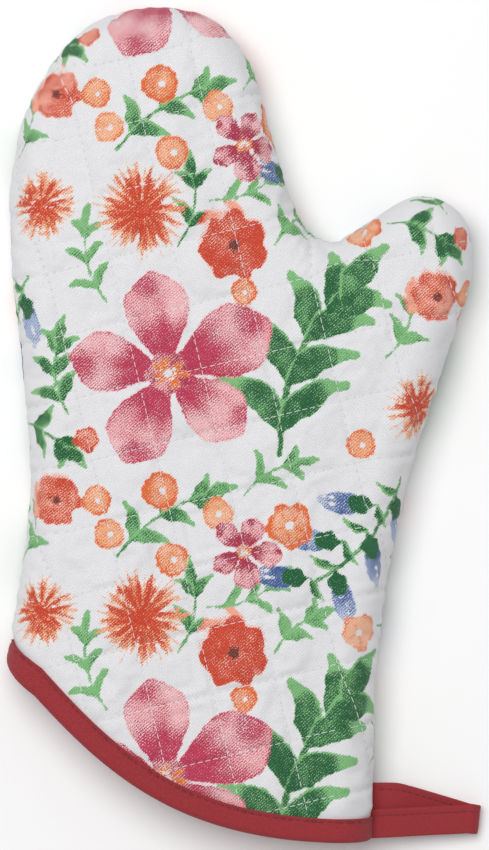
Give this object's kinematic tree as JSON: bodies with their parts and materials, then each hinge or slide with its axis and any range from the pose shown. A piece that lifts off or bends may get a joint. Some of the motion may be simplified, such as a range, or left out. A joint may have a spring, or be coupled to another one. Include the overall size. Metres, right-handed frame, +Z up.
{
  "type": "oven mitt",
  "caption": "Quilted cotton oven mitt with a thumb, a bound open cuff and a folded tape hanging loop at the cuff's corner.",
  "frame": {"origin": "on the surface that the mitt lies on, under the middle of its outline with the loop included", "axes": "+X towards the thumb, +Y from the cuff to the finger tips, +Z up through the front panel"},
  "size_m": [0.1912, 0.3301, 0.0353],
  "materials": {
    "printed_cotton": null,
    "batting": "matte needled cotton and polyester wadding",
    "lining_cotton": "matte plain weave",
    "binding_twill": "matte red cotton twill tape",
    "white_thread": "spun polyester thread"
  },
  "bodies": {
    "mitt": {"front_cover": "printed_cotton", "back_cover": "printed_cotton", "front_batting": "batting", "back_batting": "batting", "front_lining": "lining_cotton", "back_lining": "lining_cotton", "finger_seam_thread": "white_thread", "wrist_seam_thread": "white_thread", "finger_seam_allowance": "lining_cotton", "wrist_seam_allowance": "lining_cotton", "cuff_binding": "binding_twill", "loop_tail": "binding_twill"},
    "thumb": {"thumb_front_cover": "printed_cotton", "thumb_back_cover": "printed_cotton", "thumb_front_batting": "batting", "thumb_back_batting": "batting", "thumb_front_lining": "lining_cotton", "thumb_back_lining": "lining_cotton", "thumb_seam_thread": "white_thread", "thumb_seam_allowance": "lining_cotton"},
    "loop": {"hanging_loop": "binding_twill"}
  },
  "joints": [
    {"name": "thumb_bend", "type": "hinge", "parent": "mitt", "child": "thumb", "pos_m": [0.053, 0.0307, 0.0342], "axis": [0.342, -0.9397, 0], "range_deg": [0, 55], "stiffness_Nm_per_rad": 0.05},
    {"name": "loop_swing", "type": "hinge", "parent": "mitt", "child": "loop", "pos_m": [0.0546, -0.1532, 0.013], "axis": [0, -1, 0], "range_deg": [-60, 85]}
  ]
}
